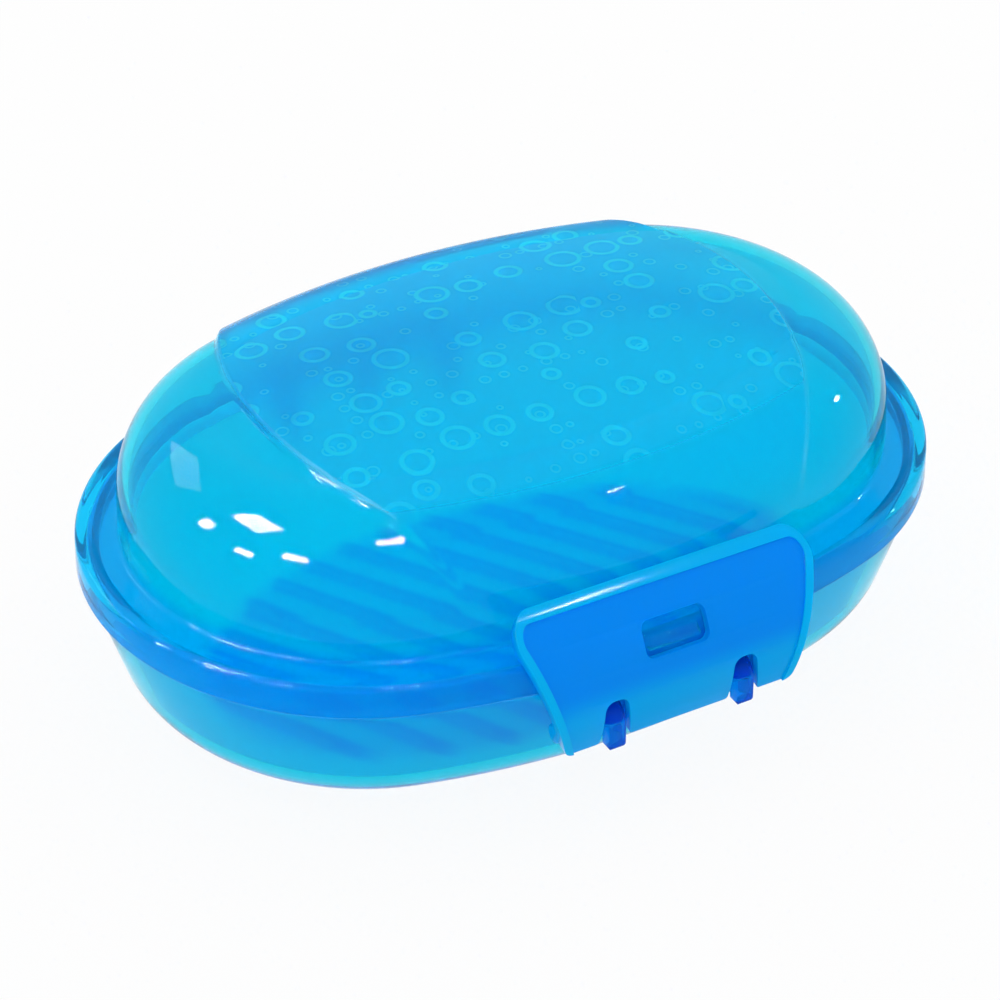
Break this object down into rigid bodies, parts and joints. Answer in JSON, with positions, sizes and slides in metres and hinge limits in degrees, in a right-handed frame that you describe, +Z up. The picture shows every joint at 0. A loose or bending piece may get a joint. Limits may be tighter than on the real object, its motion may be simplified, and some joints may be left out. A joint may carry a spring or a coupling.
{
  "type": "travel soap box",
  "caption": "Travel soap box of clear blue plastic: oval ribbed base, domed lid hinged at the back, and a curved snap latch at the front.",
  "frame": {"origin": "middle of the base's flat underside, on the plane that the box rests on", "axes": "+X along the length, +Y towards the rear hinge (the latch is at -Y), +Z up"},
  "size_m": [0.1204, 0.0926, 0.0462],
  "materials": {
    "base_plastic": "clear blue, gloss",
    "lid_plastic": "clear blue, gloss",
    "latch_plastic": "cloudy blue, gloss"
  },
  "bodies": {
    "base": {"base_shell": "base_plastic"},
    "lid": {"lid_shell": "lid_plastic"},
    "latch": {"front_latch": "latch_plastic"}
  },
  "joints": [
    {"name": "lid_hinge", "type": "hinge", "parent": "base", "child": "lid", "pos_m": [0, 0.0446, 0.0198], "axis": [-1, 0, 0], "range_deg": [0, 115]},
    {"name": "latch_hinge", "type": "hinge", "parent": "base", "child": "latch", "pos_m": [0, -0.042, 0.015], "axis": [1, 0, 0], "range_deg": [0, 95]}
  ]
}
